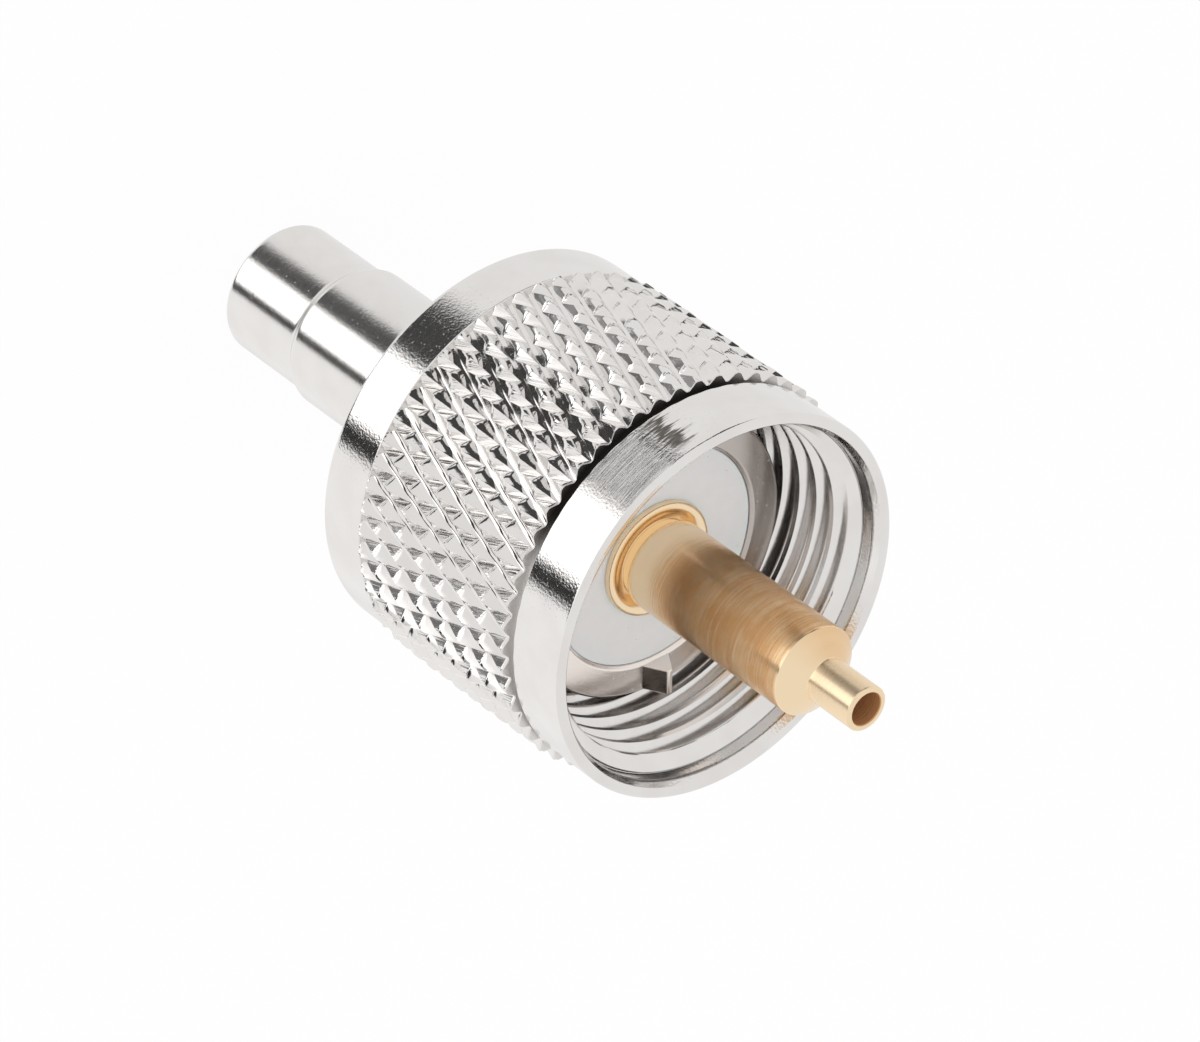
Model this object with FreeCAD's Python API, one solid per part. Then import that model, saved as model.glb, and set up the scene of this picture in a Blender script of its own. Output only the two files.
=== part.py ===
import FreeCAD, Part
import math
import os

# Coaxial cable plug of the UHF type with a crimped cable end. It stands on the ferrule's open end, and the
# Z axis is the plug's axis, from the cable towards the tip of the centre pin. Lengths are millimetres.

# Cable that the plug takes
CABLE_JACKET_D = 4.95
CABLE_DIELECTRIC_D = 2.95
CABLE_CONDUCTOR_D = 0.9
CABLE_CLEARANCE = 0.1
DIELECTRIC_CLEARANCE = 0.075

# Crimp ferrule
FERRULE_LENGTH = 12.25
FERRULE_NARROW_LENGTH = 4.5
FERRULE_JOGGLE_LENGTH = 0.35
FERRULE_STEP = 0.225
FERRULE_WALL = 0.425
FERRULE_FRONT_WALL = 0.45
FERRULE_END_ROUND = 0.6
FERRULE_FRONT_ROUND = 0.3
FERRULE_GAP = 0.03
REGISTER_LENGTH = 1.5
REGISTER_CLEARANCE = 0.03

# Crimp stem, part of the body
STEM_WALL = 0.55
STEM_END_GAP = 0.3
STEM_CHAMFER = 0.2
SERRATION_PITCH = 0.7
SERRATION_DEPTH = 0.14

# Body
SHOULDER_LENGTH = 2.95
SHOULDER_STEP = 0.45
SHOULDER_CHAMFER = 0.4
BARREL_LENGTH = 7.71
BARREL_WALL = 0.88
FLANGE_THICKNESS = 2.0
FLANGE_STEP = 1.13
FLANGE_PLAY = 0.93
FLANGE_CHAMFER = 0.12
BODY_REAR_WALL = 1.9
BORE_CHAMFER = 0.13

# Locating teeth on the flange
TOOTH_COUNT = 2
TOOTH_BASE = 1.4
TOOTH_CREST = 0.2
TOOTH_HEIGHT = 0.93

# Insulator
INSULATOR_HEAD_DEPTH = 1.5
INSULATOR_RECESS = 0.14
FLANGE_FACE_WIDTH = 1.46
PRESS_GAP = 0.01

# Centre pin
PIN_D = 3.96
PIN_COLLAR_RIM = 0.59
PIN_COLLAR_THICKNESS = 0.35
PIN_COLLAR_DISH = 0.28
PIN_COLLAR_FLAT = 0.19
PIN_COLLAR_EDGE = 0.1
PIN_NECK_CUT = 0.2
PIN_NECK_LENGTH = 0.35
PIN_BARREL_LENGTH = 9.15
PIN_CONE_LENGTH = 0.73
PIN_TUBE_LENGTH = 2.45
PIN_TUBE_WALL = 0.27
PIN_SOLDER_CLEARANCE = 0.27
PIN_SHANK_CUT = 0.23
PIN_SHANK_LENGTH = 9.0
PIN_REAR_BORE_D = 2.2
PIN_REAR_BORE_DEPTH = 4.0
PIN_MOUTH_CHAMFER = 0.25

# Retaining ring
RING_THICKNESS = 0.85
RING_WIDTH = 0.9
RING_PLAY = 0.08
RING_GAP = 1.2
RING_GROOVE_PLAY = 0.05
RING_GROOVE_ROOM = 0.45

# Coupling nut
THREAD_MAJOR_D = 15.875
THREADS_PER_INCH = 24
NUT_LENGTH = 15.1
NUT_RIM_WALL = 0.66
NUT_RIM_CHAMFER = 0.12
COUNTERBORE_DEPTH = 1.35
COUNTERBORE_PLAY = 0.04
THREAD_RELIEF_LENGTH = 1.2
LIP_REAR_THICKNESS = 0.97
LIP_FRONT_THICKNESS = 0.95
LIP_PLAY = 0.15
FRONT_BAND_LENGTH = 2.83
UNDERCUT_WIDTH = 0.3
UNDERCUT_DEPTH = 0.3
REAR_BAND_LENGTH = 2.5
REAR_BAND_RISE = 0.12
REAR_EDGE_CHAMFER = 0.2

# Diamond knurl
KNURL_STARTS = 53
KNURL_ROWS = 7
KNURL_DEPTH = 0.46
KNURL_RISE = 0.2

# Radii of the cable end
jacket_bore = CABLE_JACKET_D / 2 + CABLE_CLEARANCE
narrow_radius = jacket_bore + FERRULE_WALL
wide_radius = narrow_radius + FERRULE_STEP
wide_bore = wide_radius - FERRULE_FRONT_WALL
register_radius = wide_bore - REGISTER_CLEARANCE
stem_bore = CABLE_DIELECTRIC_D / 2 + DIELECTRIC_CLEARANCE
stem_radius = stem_bore + STEM_WALL

# Radii from the nut's thread inwards
thread_pitch = 25.4 / THREADS_PER_INCH
thread_major_radius = THREAD_MAJOR_D / 2
thread_minor_radius = thread_major_radius - 0.54127 * thread_pitch
flange_radius = thread_minor_radius - FLANGE_PLAY
insulator_head_radius = flange_radius - FLANGE_FACE_WIDTH
barrel_radius = flange_radius - FLANGE_STEP
insulator_radius = barrel_radius - BARREL_WALL
shoulder_radius = barrel_radius + SHOULDER_STEP
ring_inner_radius = barrel_radius + RING_PLAY
ring_outer_radius = ring_inner_radius + RING_WIDTH
ring_groove_radius = ring_outer_radius + RING_GROOVE_ROOM
lip_radius = shoulder_radius + LIP_PLAY

# Radii of the centre pin
pin_radius = PIN_D / 2
collar_radius = pin_radius + PIN_COLLAR_RIM
neck_radius = pin_radius - PIN_NECK_CUT
shank_radius = pin_radius - PIN_SHANK_CUT
tip_bore = CABLE_CONDUCTOR_D / 2 + PIN_SOLDER_CLEARANCE
tube_radius = tip_bore + PIN_TUBE_WALL
rear_bore = PIN_REAR_BORE_D / 2

# Radii outside the nut
counterbore_radius = thread_major_radius + COUNTERBORE_PLAY
front_band_radius = counterbore_radius + NUT_RIM_WALL
rear_band_radius = front_band_radius + REAR_BAND_RISE
knurl_crest_radius = rear_band_radius + KNURL_RISE
knurl_root_radius = knurl_crest_radius - KNURL_DEPTH

# Heights along the axis, from the ferrule's open end up
body_rear_z = FERRULE_LENGTH + FERRULE_GAP
stem_end_z = FERRULE_NARROW_LENGTH + FERRULE_JOGGLE_LENGTH + STEM_END_GAP
register_end_z = body_rear_z - REGISTER_LENGTH
shoulder_z = body_rear_z + SHOULDER_LENGTH
flange_rear_z = shoulder_z + BARREL_LENGTH
flange_face_z = flange_rear_z + FLANGE_THICKNESS
insulator_rear_z = body_rear_z + BODY_REAR_WALL
head_rear_z = flange_face_z - INSULATOR_HEAD_DEPTH
ring_z = shoulder_z + RING_GROOVE_PLAY
groove_rear_z = ring_z - RING_GROOVE_PLAY
groove_front_z = ring_z + RING_THICKNESS + RING_GROOVE_PLAY
nut_rear_z = groove_rear_z - LIP_REAR_THICKNESS
lip_front_z = groove_front_z + LIP_FRONT_THICKNESS
nut_rim_z = nut_rear_z + NUT_LENGTH
counterbore_z = nut_rim_z - COUNTERBORE_DEPTH
thread_start_z = lip_front_z + THREAD_RELIEF_LENGTH
front_band_z = nut_rim_z - FRONT_BAND_LENGTH
knurl_front_z = front_band_z - UNDERCUT_WIDTH
knurl_rear_z = nut_rear_z + REAR_BAND_LENGTH
insulator_face_z = flange_face_z - INSULATOR_RECESS
collar_face_z = insulator_face_z + PIN_COLLAR_THICKNESS
pin_barrel_z = collar_face_z + PIN_NECK_LENGTH
cone_z = pin_barrel_z + PIN_BARREL_LENGTH
tube_z = cone_z + PIN_CONE_LENGTH
tip_z = tube_z + PIN_TUBE_LENGTH
shank_end_z = flange_face_z - PIN_SHANK_LENGTH

AXIS = FreeCAD.Vector(0, 0, 1)
CENTRE = FreeCAD.Vector(0, 0, 0)
TOUCH = 0.001


def turned(outline):
    """Solid of revolution round the Z axis of a closed outline, given as radius and height pairs."""
    points = [FreeCAD.Vector(radius, 0, height) for radius, height in outline]
    face = Part.Face(Part.makePolygon(points + points[:1]))
    return face.revolve(CENTRE, AXIS, 360)


def cylinder(radius, low, high):
    """Round bar on the Z axis between two heights."""
    return Part.makeCylinder(radius, high - low, FreeCAD.Vector(0, 0, low), AXIS)


def circles(shape, *places):
    """Round edges of a turned shape that lie at the given radius and height pairs."""
    found = []
    for edge in shape.Edges:
        curve = edge.Curve
        if isinstance(curve, Part.Circle):
            for radius, height in places:
                if abs(curve.Radius - radius) < TOUCH and abs(curve.Center.z - height) < TOUCH:
                    found.append(edge)
    return found


def crimp_ferrule():
    """Drawn tube, narrow over the jacket and wide over the braid, with a rounded cable end."""
    joggle_start = FERRULE_NARROW_LENGTH
    joggle_end = joggle_start + FERRULE_JOGGLE_LENGTH
    tube = turned([
        (jacket_bore, 0),
        (narrow_radius, 0),
        (narrow_radius, joggle_start),
        (wide_radius, joggle_end),
        (wide_radius, FERRULE_LENGTH),
        (wide_bore, FERRULE_LENGTH),
        (wide_bore, joggle_end),
        (jacket_bore, joggle_start),
    ])
    joggle = circles(tube, (narrow_radius, joggle_start), (wide_radius, joggle_end))
    tube = tube.makeFillet(FERRULE_JOGGLE_LENGTH, joggle)
    tube = tube.makeFillet(FERRULE_WALL * FERRULE_END_ROUND, circles(tube, (narrow_radius, 0)))
    return tube.makeFillet(FERRULE_WALL * FERRULE_FRONT_ROUND, circles(tube, (wide_radius, FERRULE_LENGTH)))


def crimp_stem_outline():
    """Outside of the crimp stem from its open end up: a chamfer and ring serrations that grip the braid."""
    root = stem_radius - SERRATION_DEPTH
    first = stem_end_z + STEM_CHAMFER
    count = int((register_end_z - first) / SERRATION_PITCH)
    outline = [(stem_radius - STEM_CHAMFER, stem_end_z), (stem_radius, first)]
    for tooth in range(count):
        height = first + tooth * SERRATION_PITCH
        outline.append((root, height + SERRATION_PITCH / 2))
        outline.append((stem_radius, height + SERRATION_PITCH))
    return outline


def locating_teeth():
    """Teeth on the flange's face, each a ridge that runs in from the flange's edge to the insulator's seat."""
    inner = insulator_head_radius + BORE_CHAMFER
    outer = flange_radius - FLANGE_CHAMFER
    ring = cylinder(outer, flange_rear_z, flange_face_z + TOOTH_HEIGHT)
    ring = ring.cut(cylinder(inner, flange_rear_z, flange_face_z + TOOTH_HEIGHT))
    root_z = flange_face_z - FLANGE_THICKNESS / 4
    section = [
        FreeCAD.Vector(0, -TOOTH_BASE / 2, root_z),
        FreeCAD.Vector(0, -TOOTH_BASE / 2, flange_face_z),
        FreeCAD.Vector(0, -TOOTH_CREST / 2, flange_face_z + TOOTH_HEIGHT),
        FreeCAD.Vector(0, TOOTH_CREST / 2, flange_face_z + TOOTH_HEIGHT),
        FreeCAD.Vector(0, TOOTH_BASE / 2, flange_face_z),
        FreeCAD.Vector(0, TOOTH_BASE / 2, root_z),
    ]
    ridge = Part.Face(Part.makePolygon(section + section[:1])).extrude(FreeCAD.Vector(flange_radius, 0, 0))
    teeth = []
    for index in range(TOOTH_COUNT):
        tooth = ridge.copy()
        tooth.rotate(CENTRE, AXIS, index * 360 / TOOTH_COUNT)
        teeth.append(tooth.common(ring))
    return teeth


def plug_body():
    """One turning: crimp stem, register for the ferrule, rear shoulder, barrel and toothed flange."""
    head_bore = insulator_head_radius + PRESS_GAP
    main_bore = insulator_radius + PRESS_GAP
    outline = [(stem_bore, stem_end_z)]
    outline += crimp_stem_outline()
    outline += [
        (stem_radius, register_end_z),
        (register_radius, register_end_z),
        (register_radius, body_rear_z),
        (shoulder_radius - SHOULDER_CHAMFER, body_rear_z),
        (shoulder_radius, body_rear_z + SHOULDER_CHAMFER),
        (shoulder_radius, shoulder_z),
        (barrel_radius, shoulder_z),
        (barrel_radius, flange_rear_z),
        (flange_radius, flange_rear_z),
        (flange_radius, flange_face_z - FLANGE_CHAMFER),
        (flange_radius - FLANGE_CHAMFER, flange_face_z),
        (head_bore + BORE_CHAMFER, flange_face_z),
        (head_bore, flange_face_z - BORE_CHAMFER),
        (head_bore, head_rear_z - PRESS_GAP),
        (main_bore, head_rear_z - PRESS_GAP),
        (main_bore, insulator_rear_z),
        (stem_bore, insulator_rear_z),
    ]
    return turned(outline).fuse(locating_teeth())


def insulator():
    """Stepped bush just below the flange's face, bored for the pin's shank and for the cable's core."""
    shank_bore = shank_radius + PRESS_GAP
    step_z = shank_end_z - PRESS_GAP
    return turned([
        (stem_bore, insulator_rear_z + PRESS_GAP),
        (insulator_radius, insulator_rear_z + PRESS_GAP),
        (insulator_radius, head_rear_z),
        (insulator_head_radius, head_rear_z),
        (insulator_head_radius, insulator_face_z),
        (shank_bore, insulator_face_z),
        (shank_bore, step_z),
        (stem_bore, step_z),
    ])


def centre_pin():
    """Hollow turning: shank, collar with a dished face, neck, barrel, cone and solder tube."""
    collar_foot = insulator_face_z + PRESS_GAP
    rim_radius = collar_radius - PIN_COLLAR_EDGE
    rear_bore_end = shank_end_z + PIN_REAR_BORE_DEPTH
    return turned([
        (rear_bore, shank_end_z),
        (shank_radius, shank_end_z),
        (shank_radius, collar_foot),
        (collar_radius, collar_foot),
        (collar_radius, collar_face_z - PIN_COLLAR_EDGE),
        (rim_radius, collar_face_z),
        (rim_radius - PIN_COLLAR_FLAT, collar_face_z),
        (neck_radius, collar_face_z - PIN_COLLAR_DISH),
        (neck_radius, pin_barrel_z),
        (pin_radius, pin_barrel_z),
        (pin_radius, cone_z),
        (tube_radius, tube_z),
        (tube_radius, tip_z),
        (tip_bore, tip_z),
        (tip_bore, rear_bore_end + PIN_MOUTH_CHAMFER),
        (rear_bore, rear_bore_end),
    ])


def retaining_ring():
    """Split ring that rides on the barrel inside the nut's groove."""
    ring = turned([
        (ring_inner_radius, ring_z),
        (ring_outer_radius, ring_z),
        (ring_outer_radius, ring_z + RING_THICKNESS),
        (ring_inner_radius, ring_z + RING_THICKNESS),
    ])
    corner = FreeCAD.Vector(-RING_GAP / 2, 0, ring_z)
    split = Part.makeBox(RING_GAP, 2 * ring_outer_radius, RING_THICKNESS, corner)
    return ring.cut(split)


def knurl_point(column, row):
    """Corner of the knurl's net: columns go round, rows go up, and crests and roots take turns."""
    radius = knurl_crest_radius if (column + row) % 2 == 0 else knurl_root_radius
    angle = math.pi * column / KNURL_STARTS
    height = knurl_rear_z + (knurl_front_z - knurl_rear_z) * row / KNURL_ROWS
    return FreeCAD.Vector(radius * math.cos(angle), radius * math.sin(angle), height)


def flat_face(points):
    """Plane face inside a ring of corners."""
    return Part.Face(Part.makePolygon(points + points[:1]))


def diamond_knurl():
    """Core with crossed helical grooves. Each crest is a pyramid on four groove crossings."""
    columns = 2 * KNURL_STARTS
    faces = []
    for row in range(KNURL_ROWS):
        for column in range(columns):
            low = knurl_point(column, row)
            low_next = knurl_point(column + 1, row)
            high = knurl_point(column, row + 1)
            high_next = knurl_point(column + 1, row + 1)
            if (column + row) % 2 == 0:
                faces.append(flat_face([low, low_next, high]))
                faces.append(flat_face([high_next, high, low_next]))
            else:
                faces.append(flat_face([low_next, high_next, low]))
                faces.append(flat_face([high, low, high_next]))
    faces.append(flat_face([knurl_point(column, 0) for column in range(columns)]))
    faces.append(flat_face([knurl_point(column, KNURL_ROWS) for column in range(columns)]))
    shell = Part.Shell(faces)
    shell.sewShape()
    core = Part.Solid(shell)
    if core.Volume < 0:
        core.reverse()
    return core


def thread_rings():
    """Outline of the nut's thread as rings: V grooves at the thread's pitch, with flat crests between."""
    crest = thread_pitch / 4
    count = int((counterbore_z - thread_start_z) / thread_pitch)
    first = (thread_start_z + counterbore_z - count * thread_pitch + crest) / 2
    outline = []
    for turn in range(count):
        low = first + turn * thread_pitch
        high = low + thread_pitch - crest
        outline.append((thread_minor_radius, low))
        outline.append((thread_major_radius, (low + high) / 2))
        outline.append((thread_minor_radius, high))
    return outline


def coupling_nut():
    """Knurled nut with a thread, a counterbore at the rim and a grooved lip at the rear."""
    undercut_radius = front_band_radius - UNDERCUT_DEPTH
    edge = REAR_EDGE_CHAMFER
    chamfer = NUT_RIM_CHAMFER
    bands = turned([
        (0, nut_rear_z),
        (rear_band_radius - edge, nut_rear_z),
        (rear_band_radius, nut_rear_z + edge),
        (rear_band_radius, knurl_rear_z),
        (undercut_radius, knurl_rear_z),
        (undercut_radius, front_band_z),
        (front_band_radius, front_band_z),
        (front_band_radius, nut_rim_z - chamfer),
        (front_band_radius - chamfer, nut_rim_z),
        (0, nut_rim_z),
    ])
    outline = [
        (0, nut_rear_z),
        (lip_radius, nut_rear_z),
        (lip_radius, groove_rear_z),
        (ring_groove_radius, groove_rear_z),
        (ring_groove_radius, groove_front_z),
        (lip_radius, groove_front_z),
        (lip_radius, lip_front_z),
        (counterbore_radius, lip_front_z),
        (counterbore_radius, thread_start_z),
        (thread_minor_radius, thread_start_z),
    ]
    outline += thread_rings()
    outline += [
        (thread_minor_radius, counterbore_z),
        (counterbore_radius, counterbore_z),
        (counterbore_radius, nut_rim_z - chamfer),
        (counterbore_radius + chamfer, nut_rim_z),
        (0, nut_rim_z),
    ]
    return diamond_knurl().fuse(bands).cut(turned(outline))


PIECES = {
    "crimp_ferrule": crimp_ferrule,
    "plug_body": plug_body,
    "insulator": insulator,
    "centre_pin": centre_pin,
    "retaining_ring": retaining_ring,
    "coupling_nut": coupling_nut,
}

os.makedirs("parts", exist_ok=True)
for name, make in PIECES.items():
    shape = make()
    solids = shape.Solids
    piece = solids[0] if len(solids) == 1 else shape
    piece.exportStep("parts/" + name + ".step")
    print(name, "solids", len(solids), "valid", piece.isValid(), "faces", len(piece.Faces),
          "volume", round(piece.Volume, 1))

nut_travel = flange_rear_z - lip_front_z
print("nut travel", round(nut_travel, 2), "rim", round(nut_rim_z, 2), "tip", round(tip_z, 2))
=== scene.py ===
# %% [markdown]
# # A crimp plug for thin coaxial cable
# The plug is a small turned part: a knurled coupling nut, a body with a toothed flange, a white
# insulator, a gold-plated hollow pin and a loose crimp ferrule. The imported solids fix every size. This
# lesson dresses them: each piece gets a finer mesh in the same place and a finish that is made of nodes,
# and then the studio is built.
#
# It stands on the ferrule's open end, with its axis on Z. Sizes are written in millimetres, as on a
# turner's drawing, and MM turns them into metres.

# %% Load the frame
import math

import bmesh
import bpy
import numpy as np
from mathutils import Matrix, Vector


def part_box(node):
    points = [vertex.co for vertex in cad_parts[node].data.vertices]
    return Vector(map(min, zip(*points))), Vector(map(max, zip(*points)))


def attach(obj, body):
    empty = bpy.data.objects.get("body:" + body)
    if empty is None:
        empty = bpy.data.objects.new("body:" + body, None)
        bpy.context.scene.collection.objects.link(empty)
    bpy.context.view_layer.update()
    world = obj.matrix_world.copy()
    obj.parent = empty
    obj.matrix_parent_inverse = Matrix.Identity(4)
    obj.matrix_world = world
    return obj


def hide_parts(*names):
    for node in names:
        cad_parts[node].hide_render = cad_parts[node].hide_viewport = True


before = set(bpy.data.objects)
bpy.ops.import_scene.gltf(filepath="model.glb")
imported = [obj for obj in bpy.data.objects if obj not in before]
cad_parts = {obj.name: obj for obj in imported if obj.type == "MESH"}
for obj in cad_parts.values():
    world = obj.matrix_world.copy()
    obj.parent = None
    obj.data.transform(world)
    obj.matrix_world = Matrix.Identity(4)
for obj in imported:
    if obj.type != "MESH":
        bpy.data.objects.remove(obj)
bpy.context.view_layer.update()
MM = 0.001


def heights(name):
    """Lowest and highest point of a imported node, in millimetres."""
    low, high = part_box(name)
    return low.z / MM, high.z / MM


for name in sorted(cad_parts):
    print(name, "stands between", [round(height, 2) for height in heights(name)], "mm")

# %% [markdown]
# ## The eye
# The plug was photographed lying tilted, from about 0.3 m and through a long lens, so its axis
# runs from the upper left of the picture to the lower right. Here the plug stands, and the camera is
# turned about its line of sight by the same angle. A camera could be placed by eye, but a place, three
# angles and a lens that were measured from the ellipses of the turned edges put every edge back where it
# was.

# %% Camera
EYE = Vector((-165.753, -144.701, 199.535)) * MM
AZIMUTH = math.radians(221.087)
ELEVATION = math.radians(38.984)
ROLL = math.radians(125.811)
LENS = 210

flat = math.cos(ELEVATION)
back = Vector((flat * math.cos(AZIMUTH), flat * math.sin(AZIMUTH), math.sin(ELEVATION)))
right = Vector((-math.sin(AZIMUTH), math.cos(AZIMUTH), 0))
look = Matrix((right, back.cross(right), back)).transposed().to_4x4()
camera = bpy.data.objects.new("camera", bpy.data.cameras.new("camera"))
camera.data.lens = LENS
camera.data.sensor_fit = "HORIZONTAL"
camera.data.sensor_width = 36
camera.data.clip_start = 0.01
camera.matrix_world = Matrix.Translation(EYE) @ look @ Matrix.Rotation(ROLL, 4, "Z")
bpy.context.scene.collection.objects.link(camera)
bpy.context.scene.camera = camera
bpy.context.scene.view_settings.view_transform = "Standard"
print("eye at", [round(value / MM) for value in EYE], "mm")

# %% [markdown]
# ## Sums on sockets
# A finish is arithmetic: this streak times that mask, plus a little grain. Drawn as boxes and wires it is
# hard to read, so one small class holds a socket and lets Python's own signs add the nodes. Numbers go
# through Math nodes, vectors through Vector Math, and colours through Mix, because a Math node would turn
# a colour grey.

# %% The Wire class
class Wire:
    """One socket of a node tree, to calculate with."""

    def __init__(self, tree, socket=None):
        self.tree = tree
        self.socket = socket

    def node(self, kind, settings=None, sockets=None, out=0):
        """A new node: settings first, then a value or a Wire for each socket, by name or number."""
        made = self.tree.nodes.new("ShaderNode" + kind)
        for key, value in (settings or {}).items():
            setattr(made, key, value)
        for key, value in (sockets or {}).items():
            if isinstance(value, Wire):
                self.tree.links.new(value.socket, made.inputs[key])
            else:
                made.inputs[key].default_value = value
        return Wire(self.tree, made.outputs[out])

    def sums(self, operation, one, two):
        """one and two joined by Math, or by Vector Math or Mix where one of them is a vector or a colour."""
        kinds = {side.socket.type for side in (one, two) if isinstance(side, Wire)}
        if "RGBA" in kinds:
            settings = {"data_type": "RGBA", "blend_type": operation, "clamp_result": False}
            return self.node("Mix", settings, {0: 1.0, 6: one, 7: two}, out=2)
        if "VECTOR" in kinds:
            sides = [(side,) * 3 if isinstance(side, (int, float)) else side for side in (one, two)]
            return self.node("VectorMath", {"operation": operation}, {0: sides[0], 1: sides[1]})
        return self.node("Math", {"operation": operation}, {0: one, 1: two})

    def __add__(self, other): return self.sums("ADD", self, other)
    def __radd__(self, other): return self.sums("ADD", other, self)
    def __sub__(self, other): return self.sums("SUBTRACT", self, other)
    def __rsub__(self, other): return self.sums("SUBTRACT", other, self)
    def __mul__(self, other): return self.sums("MULTIPLY", self, other)
    def __rmul__(self, other): return self.sums("MULTIPLY", other, self)


def step(value, start, end):
    """Soft step: 0 before start, 1 after end. With end below start it falls instead."""
    settings = {"interpolation_type": "SMOOTHSTEP"}
    return value.node("MapRange", settings, {"Value": value, "From Min": start, "From Max": end})


def blend(mask, base, over):
    """Colour base where mask is 0, and over where it is 1. Each is three numbers or a Wire."""
    base, over = (side if isinstance(side, Wire) else (*side, 1) for side in (base, over))
    return mask.node("Mix", {"data_type": "RGBA"}, {0: mask, 6: base, 7: over}, out=2)


print("signs that add nodes: + - *, with the number on either side")

# %% [markdown]
# ## Places on a turned piece
# Every mark on this plug follows the lathe: tool lines run round the axis, and what varies does so along
# the height or across a face. So a finish needs three things of a point: its distance from the axis, its
# height and where it is round the axis. Radius plus height makes one coordinate that changes across a
# barrel, a flat face and a cone alike, and noise that is fine along it and slow round the axis looks like
# tool lines on all three. The turn is in degrees, 0 on the side of the eye, and jumps by a whole round on
# the far side, where no mark uses it.

# %% Lathe coordinates and noises
EYE_SIDE = math.radians(221)


class Finish:
    """A material with a Principled shader, its point on the piece in mm, and that point's radius and turn."""

    def __init__(self, name, **constants):
        self.material = bpy.data.materials.new(name)
        self.material.use_nodes = True
        tree = self.material.node_tree
        self.shader = tree.nodes["Principled BSDF"]
        for key, value in constants.items():
            self.shader.inputs[key.replace("_", " ")].default_value = value
        self.tree = Wire(tree)
        metres = self.tree.node("TexCoord", out=3)
        self.point = self.tree.node("VectorMath", {"operation": "SCALE"}, {0: metres, "Scale": 1 / MM})
        flat = self.point * (1.0, 1.0, 0.0)
        self.radius = self.tree.node("VectorMath", {"operation": "LENGTH"}, {0: flat}, out=1)
        self.height = self.tree.node("SeparateXYZ", None, {0: self.point}, out=2)
        facing = {"Vector": self.point, "Angle": -EYE_SIDE}
        turned = self.tree.node("VectorRotate", {"rotation_type": "Z_AXIS"}, facing)
        x = self.tree.node("SeparateXYZ", None, {0: turned}, out=0)
        y = self.tree.node("SeparateXYZ", None, {0: turned}, out=1)
        self.turn = y.sums("ARCTAN2", y, x) * (180 / math.pi)

    def noise(self, where, scale, detail):
        """Noise from 0 to 1 at a vector in millimetres: scale is its lumps in a millimetre."""
        sockets = {"Vector": where, "Scale": scale, "Detail": detail, "Roughness": 0.5}
        return self.tree.node("TexNoise", None, sockets)

    def grain(self, scale, detail=2.0):
        """Grain that is the same in every direction."""
        return self.noise(self.point, scale, detail)

    def lines(self, across, along):
        """Tool lines round the axis: the lumps in a millimetre across the lines and along them."""
        travel = self.radius * across + self.height * (across - along)
        return self.noise(self.point * along + self.tree.node("CombineXYZ", None, {2: travel}), 1.0, 3.0)

    def spots(self, scale, size, share):
        """Round spots: the cells in a millimetre, the spots' radius in cells, how many cells have one."""
        settings = {"feature": "F1"}
        near = self.tree.node("TexVoronoi", settings, {"Vector": self.point, "Scale": scale}, out=0)
        pick = self.tree.node("TexVoronoi", settings, {"Vector": self.point, "Scale": scale}, out=1)
        red = self.tree.node("SeparateColor", None, {0: pick}, out=0)
        return step(near, size, size * 0.6) * step(red, share, share - 0.001)

    def wire(self, **sockets):
        """Links wires to the shader's sockets."""
        for key, value in sockets.items():
            self.tree.tree.links.new(value.socket, self.shader.inputs[key.replace("_", " ")])
        return self

    def relief(self, height):
        """Bump from a height that is given in thousandths of a millimetre."""
        made = self.tree.node("Bump", None, {"Strength": 1.0, "Distance": 0.001 * MM, "Height": height})
        return self.wire(Normal=made)


print("a finish measures in millimetres,", round(1 / MM), "to the metre")

# %% [markdown]
# ## Bright nickel
# The nut and the ferrule are turned brass under a thin bright nickel plate. Plate is a mirror, but never
# a perfect one: it swells over the tool lines below, it carries pits of a few hundredths of a millimetre,
# and handling leaves hairlines. In a mirror the eye sees such marks only where a bright and a dark
# reflection meet, and there they tear the edge into specks. So the colour stays nearly plain, and the
# marks are relief of a few microns.

# %% Nickel
NICKEL = ((0.855, 0.84, 0.83), (0.82, 0.80, 0.785))
# The colour that the nut's painted shade in the undercut and its blotch darken towards.
SHADE_AND_BLOTCH = (0.17, 0.16, 0.15)


def clouds(made):
    """Slow clouds, where the plate's second tone shows."""
    return step(made.grain(0.6, 3.0), 0.35, 0.7)


def nickel(name, waves, pits, turning, satin=0.0, tones=NICKEL, second=clouds, marks=None, shade_and_blotch=None):
    """Plated nickel: height of its waves, its pits and its tool lines in microns, and how satin it is."""
    made = Finish(name, Metallic=1.0)
    lines = made.lines(26.0, 0.35)
    coarse = made.lines(7.0, 0.12)
    dust = made.spots(5.0, 0.22, 0.22)
    pit = made.spots(8.0, 0.3, 0.14)
    height = made.grain(9.0, 4.0) * waves + lines * turning + coarse * (turning * 1.4) - pit * pits
    rough = 0.05 + satin + dust * 0.12 + lines * (0.04 + satin * 0.6)
    if marks:
        more_height, more_rough = marks(made)
        height = height + more_height
        rough = rough + more_rough
    colour = blend(second(made), *tones)
    # Painted shade: where the mask is 1, the colour is darkened towards the dark colour.
    if shade_and_blotch:
        colour = colour * blend(shade_and_blotch(made), (1, 1, 1), SHADE_AND_BLOTCH)
    made.wire(Base_Color=colour, Roughness=rough)
    return made.relief(height)


thread_nickel = nickel("nickel_thread", 0.9, 0.5, 0.5, satin=0.05)
ferrule_nickel = nickel("nickel_ferrule", 3.0, 0.7, 0.6, satin=0.06)
print("plain nickel finishes:", thread_nickel.material.name, ferrule_nickel.material.name)
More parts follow.
